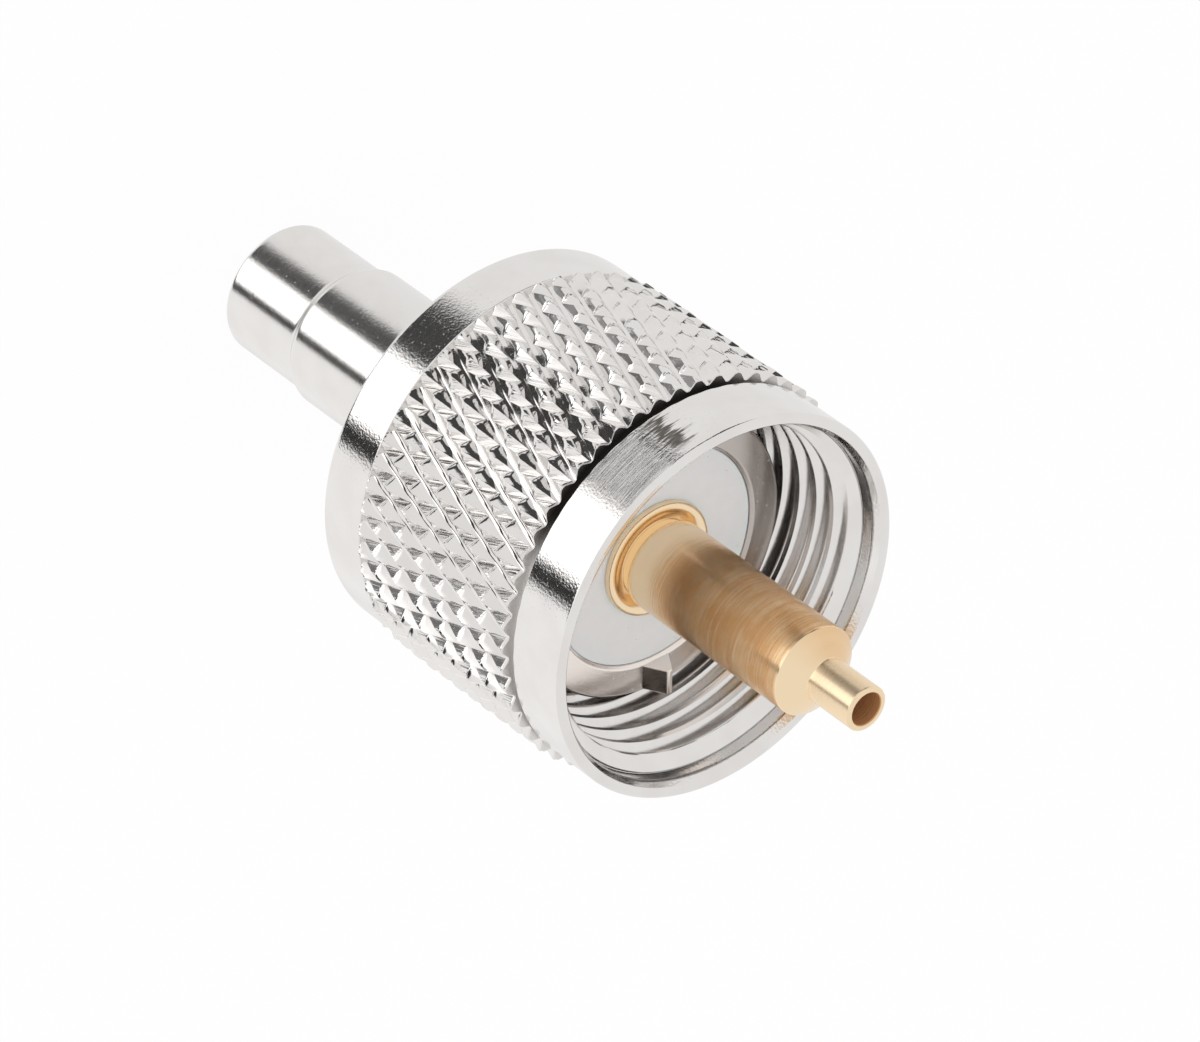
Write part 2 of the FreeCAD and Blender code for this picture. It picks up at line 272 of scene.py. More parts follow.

# %% [markdown]
# ## Marks on the nut
# The nut was handled most, and it shows. The second knurling wheel left ridges on the flanks of its own
# grooves and nowhere else, so the finish counts the grooves, as the mesh of the knurl will, to know which
# flank a point is on. The smooth band in front of the knurl was rubbed between two angles, with a dark
# blotch at the end of the rub. The undercut between the two is painted darker on the side towards the eye:
# that is painted shade, a painted shadow and dark reflection. The marks are masks in height and turn, with
# noise added to the turn so that their ends are ragged.

# %% Marks on the nut
NUT_FOOT, RIM = heights("coupling_nut")
KNURL_STARTS = 53
KNURL_ROWS = 7
KNURL_FOOT = NUT_FOOT + 2.5
KNURL_TOP = RIM - 3.13
KNURL_ROW = (KNURL_TOP - KNURL_FOOT) / KNURL_ROWS
KNURL_PITCH = 0.98
RIBBON = 0.09
BAND_REAR = KNURL_TOP + 0.3


def rolled_marks(made):
    """Ridges on the flanks of the second set of grooves, which run along them."""
    both = made.turn * (KNURL_STARTS / 180) + (1 + KNURL_STARTS * math.degrees(EYE_SIDE) / 180)
    climb = (made.height - KNURL_FOOT) * (1 / KNURL_ROW)
    other = (both + climb) * 0.5
    one = other - climb
    near_one, near_other = one.sums("PINGPONG", one, 0.5), other.sums("PINGPONG", other, 0.5)
    flank = step(near_one - near_other, RIBBON - 0.02, RIBBON + 0.03)
    ridges = {0: other * (KNURL_PITCH * 10), 1: made.height * 0.3}
    marks = made.noise(made.tree.node("CombineXYZ", None, ridges), 1.0, 2.0)
    burr = step(made.height, KNURL_TOP - 0.09, KNURL_TOP - 0.06)
    return marks * (flank * 24.0 + 0.6), marks * flank * 0.1 + burr * 0.4


def brushed_patch(made):
    """Where the front band was rubbed: long scratches round the axis, between two angles."""
    ragged = made.turn + made.lines(9.0, 0.4) * 9
    patch = step(ragged, -19, -16) * step(ragged, 3, -4) * step(made.height, BAND_REAR, BAND_REAR + 0.2)
    return made.lines(20.0, 0.18) * patch * 16.0, patch * 0.05


def undercut(made):
    """Painted shade in the undercut between the knurl and the front band: a painted shadow and dark
    reflection, on the side towards the eye.
    """
    side = step(made.turn, -82, -52) * step(made.turn, 24, 5)
    above = step(made.height, KNURL_TOP - 0.006, KNURL_TOP - 0.002)
    return above * step(made.height, BAND_REAR + 0.01, BAND_REAR) * side


def blotch_and_undercut_shade(made):
    """The undercut's painted shade, and a dark spot at the end of the brushed patch."""
    ragged = made.turn + made.lines(12.0, 0.5) * 16 + made.grain(2.0) * 6
    spot = step(ragged, -22, -19) * step(ragged, -13, -17) * step(made.height, BAND_REAR, BAND_REAR + 0.2)
    return undercut(made) + spot * step(made.height, BAND_REAR + 2.4, BAND_REAR + 2.0)


# The knurl gets the painted shade of the undercut; the front band gets it and the blotch.
knurl_nickel = nickel("nickel_knurled", 1.6, 1.2, 0.0, marks=rolled_marks, shade_and_blotch=undercut)
band_nickel = nickel("nickel_band", 5.5, 1.4, 0.5, marks=brushed_patch, shade_and_blotch=blotch_and_undercut_shade)
print("knurl rows of", round(KNURL_ROW, 3), "mm up to", round(KNURL_TOP, 2), "mm, front band from",
      round(BAND_REAR, 2), "mm")

# %% [markdown]
# ## Satin nickel on the body
# The tool lines on the body are rougher under the plate, so it is satin, and it is a little warmer. One
# side of the body is painted a darker brown, as a painted dark reflection, and the milled flanks of the
# teeth are dark. It is the same finish with other tones, and with another mask for where the second tone
# shows.

# %% Body finishes
# The satin tone, and the darker brown that the painted dark reflection gives one side of the body.
BODY_TONES = ((0.92, 0.855, 0.81), (0.53, 0.485, 0.455))
MILLED_TONES = ((0.17, 0.145, 0.13), (0.10, 0.085, 0.075))


def painted_reflection(made):
    """The side of the body that is painted darker, as a painted dark reflection."""
    return step(made.turn, -40, -75)


body_nickel = nickel("nickel_satin", 0.9, 0.5, 0.9, satin=0.08, tones=BODY_TONES, second=painted_reflection)
milled_nickel = nickel("nickel_milled", 0.9, 0.5, 3.0, satin=0.15, tones=MILLED_TONES)
print("brown film from a turn of -40 to -75 degrees")

# %% [markdown]
# ## Gold over brass
# The pin is plated with a thin gold on a surface that was only brushed, so the barrel is dull and
# streaked round the axis, while the collar and the solder tube were polished by the tool that formed
# them. One finish does both, with the height along the pin as the mask.

# %% Places along the pin
PIN_FOOT, PIN_TIP = heights("centre_pin")
COLLAR_REAR = PIN_TIP - 13.02
COLLAR_FRONT = COLLAR_REAR + 0.34
BARREL_REAR = COLLAR_REAR + 0.69
CONE_REAR = PIN_TIP - 3.18
TUBE_REAR = PIN_TIP - 2.45
TUBE_BORE = 0.72
print("barrel brushed from", round(BARREL_REAR, 2), "to", round(CONE_REAR, 2), "mm")

# %% Gold finish
GOLD = (0.97, 0.775, 0.53)
GOLD_DEEP = (0.82, 0.50, 0.24)
BORE_BROWN = (0.62, 0.33, 0.15)

gold = Finish("gold_plate", Metallic=1.0)
barrel = step(gold.height, BARREL_REAR, BARREL_REAR + 0.1) * step(gold.height, CONE_REAR, CONE_REAR - 0.1)
cone = step(gold.height, CONE_REAR - 0.02, CONE_REAR)
cone = cone * step(gold.height, TUBE_REAR + 0.02, TUBE_REAR - 0.03)
tube = step(gold.height, TUBE_REAR - 0.05, TUBE_REAR + 0.05)
bore = step(gold.radius, TUBE_BORE + 0.06, TUBE_BORE + 0.02)
streaks = gold.lines(7.0, 0.35)
fine = gold.lines(16.0, 0.3)
stain = gold.grain(0.9, 4.0)
# Past the collar the barrel is painted deeper gold in streaks: partly the brushed plate's streaky tone and
# partly a painted dark reflection that grows away from the collar.
wear_and_shade = step(gold.height + stain * 1.2, BARREL_REAR + 1.0, BARREL_REAR + 4.0)
deep = barrel * wear_and_shade * step(stain * 0.4 + streaks * 0.25 + fine * 0.35, 0.3, 0.62)
# Painted dark reflection on the cone: its side from a turn of 20 degrees downwards is painted deeper gold.
deep = deep + cone * step(gold.turn, 20, -60) * (0.3 + streaks * 0.5)
gold.wire(Base_Color=blend(bore, blend(deep, GOLD, GOLD_DEEP), BORE_BROWN), Metallic=1 - bore * 0.7)
gold.wire(Roughness=0.13 + barrel * (0.04 + streaks * 0.1) + tube * 0.12 + fine * 0.06)
brushed = streaks * (0.4 + barrel * 4.2 + cone) + fine * (0.6 + barrel * 2.4 + cone)
gold.relief(brushed + gold.grain(8.0) * 0.6)
print("gold finish:", len(gold.material.node_tree.nodes), "nodes")

# %% [markdown]
# ## White insulator and hidden spring
# The insulator is PTFE, waxy and milky: light goes a little way in, which softens every edge. A few dark
# specks sit in it. The retaining ring is drawn bronze wire rolled flat, and nobody sees it until the nut
# is taken off.

# %% Insulator and ring finishes
PTFE = ((0.955, 0.965, 0.99), (0.93, 0.94, 0.965))
SPECK = (0.45, 0.44, 0.43)
BRONZE = ((0.72, 0.45, 0.27), (0.60, 0.36, 0.20))

ptfe = Finish("ptfe_white", Roughness=0.42, Subsurface_Weight=0.25, Subsurface_Scale=0.6 * MM)
white = blend(step(ptfe.grain(1.5, 3.0), 0.3, 0.7), *PTFE)
ptfe.wire(Base_Color=white * blend(ptfe.spots(3.5, 0.09, 0.35), (1, 1, 1), SPECK))
ptfe.relief(ptfe.lines(20.0, 0.3) * 1.2 + ptfe.grain(14.0) * 1.0)

bronze = Finish("spring_bronze", Metallic=1.0)
drawn = bronze.lines(20.0, 0.4)
bronze.wire(Base_Color=blend(drawn, *BRONZE), Roughness=0.2 + drawn * 0.15)
bronze.relief(drawn * 1.5)
print("specks in the white: one cell in three, 0.05 mm across")

# %% [markdown]
# ## Turned pieces
# A turned piece is an outline spun round the axis, as on the lathe. Blender's Screw modifier would do it,
# but an edge of real metal is never sharp: it has a small round that catches a thread of light. So the
# helper takes corners as radius, height and round, puts a short curve in each corner, and keeps a point
# close beside each end of it so that the faces next to it stay flat.

# %% Outlines
def soft_min(one, two, room):
    """The smaller of two numbers, rounded where they cross."""
    near = max(room - abs(one - two), 0)
    return min(one, two) - near * near / (4 * room)


def softened(corners, steps=4):
    """Closed outline with its corners rounded. Each corner is (radius, height) or (radius, height, round)."""
    points = []
    for index, corner in enumerate(corners):
        here = Vector(corner[:2])
        if len(corner) == 2:
            points.append(here)
            continue
        before = Vector(corners[index - 1][:2]) - here
        after = Vector(corners[(index + 1) % len(corners)][:2]) - here
        reach = min(corner[2], before.length * 0.4, after.length * 0.4)
        first = here + before.normalized() * reach
        last = here + after.normalized() * reach
        points.append(here + before.normalized() * reach * 1.2)
        for number in range(steps + 1):
            share = number / steps
            points.append(first * (1 - share) ** 2 + here * 2 * share * (1 - share) + last * share ** 2)
        points.append(here + after.normalized() * reach * 1.2)
    return points


def spun(points, segments):
    """Vertices and faces of a closed outline spun round Z."""
    count = len(points)
    verts = []
    faces = []
    for segment in range(segments):
        angle = 2 * math.pi * segment / segments
        verts += [(p[0] * math.cos(angle), p[0] * math.sin(angle), p[1]) for p in points]
        here = segment * count
        there = (segment + 1) % segments * count
        for index in range(count):
            after = (index + 1) % count
            faces.append((here + index, there + index, there + after, here + after))
    return verts, faces


print("a round of 0.1 mm becomes", len(softened([(1, 0, 0.1), (2, 0), (2, 1)])) - 2, "points")

# %% [markdown]
# ## Pieces on their bodies
# A piece may be made of several shells, such as the bands, the knurl and the thread of the nut, each with
# its own finish. They become one mesh, whose smooth faces break at every real edge. The piece rides on
# its body, hides the solid it stands for, and so moves with the joints.

# %% Piece helper
def piece(name, shells, finishes, body, nodes, sharp=24):
    """One object out of several shells of (vertices in mm, faces, finish number), riding on its body."""
    mesh = bpy.data.meshes.new(name)
    verts = []
    faces = []
    numbers = []
    for shell_verts, shell_faces, number in shells:
        faces += [tuple(corner + len(verts) for corner in face) for face in shell_faces]
        numbers += [number] * len(shell_faces)
        verts += [(x * MM, y * MM, z * MM) for x, y, z in shell_verts]
    mesh.from_pydata(verts, [], faces)
    mesh.polygons.foreach_set("material_index", numbers)
    for finish in finishes:
        mesh.materials.append(finish.material)
    work = bmesh.new()
    work.from_mesh(mesh)
    bmesh.ops.remove_doubles(work, verts=work.verts, dist=0.0005 * MM)
    bmesh.ops.recalc_face_normals(work, faces=work.faces)
    work.to_mesh(mesh)
    work.free()
    mesh.shade_smooth()
    mesh.set_sharp_from_angle(angle=math.radians(sharp))
    made = bpy.data.objects.new(name, mesh)
    bpy.context.scene.collection.objects.link(made)
    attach(made, body)
    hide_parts(*nodes)
    triangles = sum(len(face.vertices) - 2 for face in mesh.polygons)
    spans = [round(side / MM, 2) for side in made.dimensions]
    print(name, "has", triangles, "triangles and spans", spans, "mm")


# %% [markdown]
# ## The ferrule
# A short tube, drawn down at one end: wide over the cable's braid, narrow over its jacket, with a soft
# joggle between them and a rolled lip at the open end. It is loose until it is crimped.

# %% Crimp ferrule
NARROW_BORE, NARROW = 2.575, 3.0
WIDE_BORE, WIDE = 2.775, 3.225

foot, front = heights("crimp_ferrule")
joggle_foot, joggle_top = foot + 4.5, foot + 4.85
ferrule_corners = [
    (NARROW_BORE, foot, 0.04),
    (NARROW, foot, 0.26),
    (NARROW, joggle_foot, 0.1),
    (WIDE, joggle_top, 0.1),
    (WIDE, front, 0.14),
    (WIDE_BORE, front, 0.06),
    (WIDE_BORE, joggle_top, 0.1),
    (NARROW_BORE, joggle_foot, 0.1),
]
shells = [(*spun(softened(ferrule_corners, 6), 256), 0)]
piece("crimp_ferrule_bright", shells, [ferrule_nickel], "ferrule", ["crimp_ferrule"])

# %% [markdown]
# ## The body
# One turning from the serrated crimp stem, through the shoulder and the barrel, to the flange. The stem's
# ridges bite into the braid when the ferrule is crimped over them, so its grooves are turned close
# together.

# %% Outline of the body
STEM_BORE, STEM_TIP, STEM_ROOT, STEM = 1.55, 1.9, 1.96, 2.1
STEM_PITCH = 0.7
STEM_TEETH = 7
REGISTER = 2.745
SHOULDER = 5.7546
BARREL = 5.3046
FLANGE = 6.4346
SEAT = 4.9846
SEAT_STEP = 4.4346
CHAMFER = 0.4

foot, tooth_top = heights("plug_body")
face = tooth_top - 0.93
flange_rear = face - 2.0
shoulder = flange_rear - 7.71
rear = shoulder - 2.95
body_corners = [(STEM_BORE, foot, 0.05), (STEM_TIP, foot, 0.05), (STEM, foot + 0.2, 0.05)]
for number in range(STEM_TEETH):
    height = foot + 0.2 + number * STEM_PITCH
    body_corners += [(STEM_ROOT, height + STEM_PITCH / 2, 0.05), (STEM, height + STEM_PITCH, 0.04)]
body_corners += [
    (STEM, rear - 1.5, 0.06),
    (REGISTER, rear - 1.5, 0.06),
    (REGISTER, rear, 0.05),
    (SHOULDER - CHAMFER, rear, 0.08),
    (SHOULDER, rear + CHAMFER, 0.08),
    (SHOULDER, shoulder, 0.05),
    (BARREL, shoulder, 0.05),
    (BARREL, flange_rear, 0.05),
    (FLANGE, flange_rear, 0.08),
    (FLANGE, face - 0.12, 0.05),
    (FLANGE - 0.12, face, 0.05),
    (SEAT + 0.13, face, 0.05),
    (SEAT, face - 0.13, 0.03),
    (SEAT, face - 1.51),
    (SEAT_STEP, face - 1.51),
    (SEAT_STEP, rear + 1.9),
    (STEM_BORE, rear + 1.9, 0.05),
]
print("flange face at", round(face, 2), "mm, stem ridges up to", round(height + STEM_PITCH, 2), "mm")

# %% [markdown]
# ## The two teeth
# They stand on the flange's face, where they drop into notches of the socket and stop the plug from
# turning. Each was milled, so its flanks are flat and its ends follow the turned edges. A cube with moved
# corners would miss that, so the tooth is lofted: its section is repeated along the radius, each point on
# its own circle.

# %% Plug body
TOOTH_INNER = 5.14
TOOTH_OUTER = 6.31
TOOTH_HALF = 0.7
CREST_HALF = 0.1
TOOTH_EDGE = 0.04
TOOTH_FOOT = face - 0.2
tooth_section = softened([
    (-TOOTH_HALF, TOOTH_FOOT),
    (-TOOTH_HALF, face),
    (-CREST_HALF, tooth_top, 0.06),
    (CREST_HALF, tooth_top, 0.06),
    (TOOTH_HALF, face),
    (TOOTH_HALF, TOOTH_FOOT),
], 3)


def tooth(side):
    """Shells of one tooth, on the +X side or the -X side: its ends and crest, then its two flanks."""
    rings = []
    for end, inset in ((0, 0.05), (0, 0), (1, 0), (1, 0.05)):
        ring = []
        for across, height in tooth_section:
            across *= 1 - inset
            along = math.sqrt((TOOTH_INNER, TOOTH_OUTER)[end] ** 2 - across ** 2)
            if not inset:
                along += (TOOTH_EDGE, -TOOTH_EDGE)[end]
            ring.append((along * side, across * side, min(height, tooth_top - inset)))
        rings.append(ring)
    count = len(tooth_section)
    verts = [vert for ring in rings for vert in ring]
    ends = [tuple(range(count))[::-1], tuple(range(3 * count, 4 * count))]
    flanks = []
    for here in range(0, 3 * count, count):
        for index in range(count):
            after = (index + 1) % count
            quad = (here + index, here + after, here + count + after, here + count + index)
            steep = abs(tooth_section[index][1] - tooth_section[after][1]) > 0.3
            (flanks if here == count and steep else ends).append(quad)
    return [(verts, ends, 0), (verts, flanks, 1)]


shells = [(*spun(softened(body_corners), 256), 0), *tooth(1), *tooth(-1)]
piece("plug_body_satin", shells, [body_nickel, milled_nickel], "plug", ["plug_body"])

# %% [markdown]
# ## The insulator
# A stepped white bush, turned from rod and pressed in until it sits just below the flange's face.

# %% Insulator
FIT = 0.01
SHANK = 1.75

foot, top_face = heights("insulator")
head = top_face - 1.36
bore_step = top_face - 8.87
insulator_corners = [
    (STEM_BORE, foot),
    (SEAT_STEP - FIT, foot, 0.1),
    (SEAT_STEP - FIT, head),
    (SEAT - FIT, head, 0.05),
    (SEAT - FIT, top_face, 0.08),
    (SHANK + FIT, top_face, 0.05),
    (SHANK + FIT, bore_step),
    (STEM_BORE, bore_step),
]
shells = [(*spun(softened(insulator_corners), 256), 0)]
piece("insulator_white", shells, [ptfe], "plug", ["insulator"])

# %% [markdown]
# ## The centre pin
# The pin is one hollow turning. Its collar has a rolled rim and a dished face, a narrow neck parts it
# from the brushed barrel, and a cone leads to the thin tube, where the cable's core is soldered.

# %% Centre pin
REAR_BORE = 1.1
COLLAR = 2.57
NECK = 1.78
PIN = 1.98
TUBE = 0.99

pin_corners = [
    (REAR_BORE, PIN_FOOT, 0.05),
    (SHANK, PIN_FOOT, 0.1),
    (SHANK, COLLAR_REAR),
    (COLLAR, COLLAR_REAR, 0.04),
    (COLLAR, COLLAR_FRONT - 0.07, 0.1),
    (COLLAR - 0.11, COLLAR_FRONT, 0.08),
    (COLLAR - 0.27, COLLAR_FRONT, 0.1),
    (COLLAR - 0.57, COLLAR_REAR + 0.2, 0.1),
    (NECK, COLLAR_REAR + 0.16, 0.05),
    (NECK, BARREL_REAR, 0.02),
    (PIN, BARREL_REAR, 0.06),
    (PIN, CONE_REAR, 0.04),
    (TUBE, TUBE_REAR, 0.04),
    (TUBE, PIN_TIP, 0.1),
    (TUBE_BORE, PIN_TIP, 0.08),
    (TUBE_BORE, PIN_FOOT + 4.25),
    (REAR_BORE, PIN_FOOT + 4.0),
]
shells = [(*spun(softened(pin_corners, 5), 192), 0)]
piece("centre_pin_gold", shells, [gold], "plug", ["centre_pin"])

# %% [markdown]
# ## The retaining ring
# A flat ring with a gap, sprung over the barrel and caught in the nut's groove, so that the nut turns
# freely and can't come off. It is a sweep of a small rounded oblong, closed at its two cut ends.

# %% Retaining ring
RING_INNER, RING_MIDDLE, RING_OUTER = 5.3846, 5.83, 6.2846
RING_GAP = 1.2
RING_STEPS = 160

foot, front = heights("retaining_ring")
ring_section = softened([
    (RING_INNER, foot, 0.08),
    (RING_OUTER, foot, 0.08),
    (RING_OUTER, front, 0.08),
    (RING_INNER, front, 0.08),
])
count = len(ring_section)
gap_angle = 0.5 * RING_GAP / RING_MIDDLE
verts = []
faces = []
for number in range(RING_STEPS + 1):
    angle = math.pi / 2 + gap_angle + (2 * math.pi - 2 * gap_angle) * number / RING_STEPS
    verts += [(p[0] * math.cos(angle), p[0] * math.sin(angle), p[1]) for p in ring_section]
for here in range(0, RING_STEPS * count, count):
    for index in range(count):
        after = (index + 1) % count
        faces.append((here + index, here + count + index, here + count + after, here + after))
faces += [tuple(range(count)), tuple(range(RING_STEPS * count, (RING_STEPS + 1) * count))[::-1]]
piece("retaining_ring_bronze", [(verts, faces, 0)], [bronze], "ring", ["retaining_ring"])

# %% [markdown]
# ## The diamond knurl
# The feature that takes the most skill on this plug is the grip: two sets of 53 helical grooves, one to
# the left and one to the right, that leave rows of little pyramids. A bump texture can't do it, because
# each facet mirrors the room by itself. So the net is modelled. Its two coordinates count the grooves of
# the two sets, and the metal stands wherever neither groove is near: the depth is the greater of the two,
# as if a wheel had rolled each. The first wheel had a blunt edge, so its grooves are smooth ribbons with
# a flat bottom that the second's cross with a slight dip. The net's rows crowd in the grooves, and those
# of the two sets are shifted by half the ribbon's width, so that the edges of the pyramids fall on the
# mesh's own diagonals. The crests are a little worn, most on one side of the nut.

# %% Grooves
APEX = 9.03
FLANK = 1.04
SHALLOW = FLANK * (0.5 - RIBBON)
HOLLOW = 0.01
DEEP = SHALLOW + HOLLOW
DIP = 0.012
DENT = 0.012
FLAT = 0.05
WORN = 0.1
WORN_SIDE = math.radians(131)


def groove(place, depth, bottom):
    """Depth below the apex at a place that is counted in grooves, with a bottom of that half width."""
    near = abs(place - round(place))
    return depth - HOLLOW * min(near / RIBBON, 1) ** 2 * (bottom > 0) - FLANK * max(near - bottom, 0)


def knurl_depth(one, other):
    """Depth below the apex at a place that is counted in the grooves of both sets."""
    dip = DIP * math.cos(2 * math.pi * other) * max(1 - abs(one - round(one)) / 0.2, 0)
    return max(groove(one, DEEP, RIBBON) + dip, groove(other, SHALLOW, 0))


print("grooves are", round(DEEP, 3), "and", round(SHALLOW, 3), "mm deep")

# %% [markdown]
# ## The net of the knurl
# One cell of the net is one pyramid. The places inside a cell are mirrored about its middle, and each
# square between four points is cut along the diagonal that the pyramid's edge follows. Every corner of a
# cell gets a dent of its own, and every crest its own height, because rolled metal never rises evenly.

# %% Knurl net
NEAR = (0, 0.04, 0.13, 0.27, 0.5 - RIBBON)
ONE_CELL = (0, 0.05, *(place + RIBBON for place in NEAR))
OTHER_CELL = (*NEAR, 0.5)


def whole_cell(half):
    """Places from 0 to 1 that mirror the places from 0 to 0.5."""
    return [*half, *(1 - place for place in half[-2::-1])]


def knurl_net():
    """Vertices and faces of the knurl's net, which runs past the knurl at both ends."""
    dice = np.random.default_rng(KNURL_STARTS)
    dents = dice.uniform(-DENT, DENT, (KNURL_STARTS, 4 * KNURL_ROWS))
    crests = dice.uniform(-0.035, 0.03, (KNURL_STARTS, 4 * KNURL_ROWS))
    across, along = whole_cell(ONE_CELL), whole_cell(OTHER_CELL)
    columns, rows = len(across), len(along)
    verts = []
    faces = []
    for start in range(KNURL_STARTS):
        for row in range(KNURL_ROWS + 1):
            first = len(verts)
            for x in across:
                for y in along:
                    one, other = start + x, start + row + y
                    depth = knurl_depth(one, other)
                    for side_x, side_y in ((0, 0), (0, 1), (1, 0), (1, 1)):
                        share = abs(1 - side_x - x) * abs(1 - side_y - y)
                        depth += share * dents[(start + side_x) % KNURL_STARTS][row + side_y - side_x]
                    angle = math.pi * (one + other - 1) / KNURL_STARTS
                    wear_and_shade = WORN * max(math.cos(angle - WORN_SIDE), 0) ** 2
                    radius = APEX + soft_min(-depth, -FLAT - wear_and_shade - crests[start][row], 0.02)
                    height = KNURL_FOOT + KNURL_ROW * (other - one)
                    verts.append((radius * math.cos(angle), radius * math.sin(angle), height))
            for i in range(columns - 1):
                for j in range(rows - 1):
                    a, b = first + i * rows + j, first + (i + 1) * rows + j
                    if (i < columns // 2) == (j < rows // 2):
                        faces += [(a, b, b + 1), (a, b + 1, a + 1)]
                    else:
                        faces += [(a, b, a + 1), (b, b + 1, a + 1)]
    return verts, faces


net = knurl_net()
print("knurl net:", len(net[0]), "points in", KNURL_STARTS * (KNURL_ROWS + 1), "cells")

# %% [markdown]
# ## The ends of the knurl
# The turner chamfers the knurl at both ends, so that it doesn't cut the hand. Cutting the net with planes
# gives it a clean row of points at each end and a few more inside, and points that stand above the
# chamfer are brought down to it. A flat ring closes each end down to the undercut, inside the metal of
# the bands.

# %% Trimmed knurl
INSIDE = 8.0
CUTS = (0, 0.08, 0.16, 0.24)
FRONT_CHAMFER = 0.1
REAR_CHAMFER = 0.26


def trimmed(verts, faces):
    """The net cut off at the knurl's two ends, chamfered there and closed by a flat ring."""
    mesh = bpy.data.meshes.new("knurl_net")
    mesh.from_pydata(verts, [], faces)
    work = bmesh.new()
    work.from_mesh(mesh)
    bpy.data.meshes.remove(mesh)
    bmesh.ops.remove_doubles(work, verts=work.verts, dist=0.0005)
    for end, out in ((KNURL_FOOT, -1), (KNURL_TOP, 1)):
        for inset in CUTS:
            bmesh.ops.bisect_plane(work, geom=[*work.verts, *work.edges, *work.faces], dist=0.0005,
                                   plane_co=(0, 0, end - out * inset), plane_no=(0, 0, out),
                                   clear_outer=inset == 0)
    for vert in work.verts:
        from_foot, from_top = vert.co.z - KNURL_FOOT, KNURL_TOP - vert.co.z
        chamfer = FRONT_CHAMFER if from_top < from_foot else REAR_CHAMFER
        radius = vert.co.xy.length
        vert.co.xy *= min(radius, APEX - chamfer + min(from_foot, from_top)) / radius
    rims = [edge for edge in work.edges if edge.is_boundary]
    for vert in bmesh.ops.extrude_edge_only(work, edges=rims)["geom"]:
        if isinstance(vert, bmesh.types.BMVert):
            vert.co.xy *= (INSIDE + 0.2) / vert.co.xy.length
    work.verts.index_update()
    verts = [tuple(vert.co) for vert in work.verts]
    faces = [tuple(vert.index for vert in face.verts) for face in work.faces]
    work.free()
    return verts, faces


knurl = trimmed(*net)
print("knurl: 2 sets of", KNURL_STARTS, "grooves,", len(knurl[1]), "faces")

# %% [markdown]
# ## The inside thread
# The thread is 24 turns to the inch. A helix is a profile that climbs by one pitch while it goes round
# once, so the mesh follows the helix: its rows climb with the angle, and every crest and root is a row of
# its own. Towards both ends the thread fades out into the bore. There the rows are held at the end's
# height, and what is squeezed flat is merged away.

# %% Inside thread
PITCH = 25.4 / 24
THREAD_FOOT = NUT_FOOT + 4.07
THREAD_TOP = RIM - 1.0
MINOR = 7.3646
MAJOR = 7.9375
CREST = (0.07, 0.115)
ROOT_FROM = 0.44
RUN_OUT = 1.2
THREAD_SEGMENTS = 112
THREAD_STEPS = (0, 0.07, 0.14, 0.18, 0.19, 0.25, 0.38, 0.46, 0.51,
                0.54, 0.57, 0.60, 0.63, 0.68, 0.76, 0.89, 0.95, 0.96)


def thread_radius(place):
    """Radius of the thread at a place in its pitch, from the flat crest to the rounded root."""
    off = abs((place - CREST[0] + 0.5) % 1 - 0.5)
    slope = soft_min(max(off - CREST[1], 0) / (ROOT_FROM - CREST[1]), 1, 0.2)
    return MINOR + (MAJOR - MINOR) * min(slope, 1)


turns = (THREAD_TOP - THREAD_FOOT) / PITCH
places = [turn + part for turn in range(-1, math.ceil(turns)) for part in THREAD_STEPS]
rows = len(places)
verts = []
faces = []
for segment in range(THREAD_SEGMENTS + 1):
    share = segment / THREAD_SEGMENTS
    angle = 2 * math.pi * segment / THREAD_SEGMENTS
    for place in places:
        held = min(max(THREAD_FOOT + (place + share) * PITCH, THREAD_FOOT), THREAD_TOP)
        run_in, run_out = (held - THREAD_FOOT) * RUN_OUT, (THREAD_TOP - held) * RUN_OUT
        radius = max(thread_radius((held - THREAD_FOOT) / PITCH - share), MAJOR - run_out, MAJOR - run_in)
        verts.append((radius * math.cos(angle), radius * math.sin(angle), held))
for here in range(0, THREAD_SEGMENTS * rows, rows):
    faces += [(a, a + 1, a + 1 + rows, a + rows) for a in range(here, here + rows - 1)]
thread = (verts, faces)
print("thread turns", round(turns, 2))

# %% [markdown]
# ## The coupling nut
# Bands, undercut, rim and counterbore are one outline and the grooved lip at the rear is another. They
# leave room for the knurl and the thread, and their hidden sides close inside the metal. The rim is thin,
# with a wide soft chamfer towards the counterbore.

# %% Coupling nut
BAND = 8.6375
REAR_BAND = 8.7575
UNDERCUT = 8.3375
COUNTERBORE = 7.9775
RIM_INNER = 8.2
LIP = 5.9046
RING_GROOVE = 6.7346

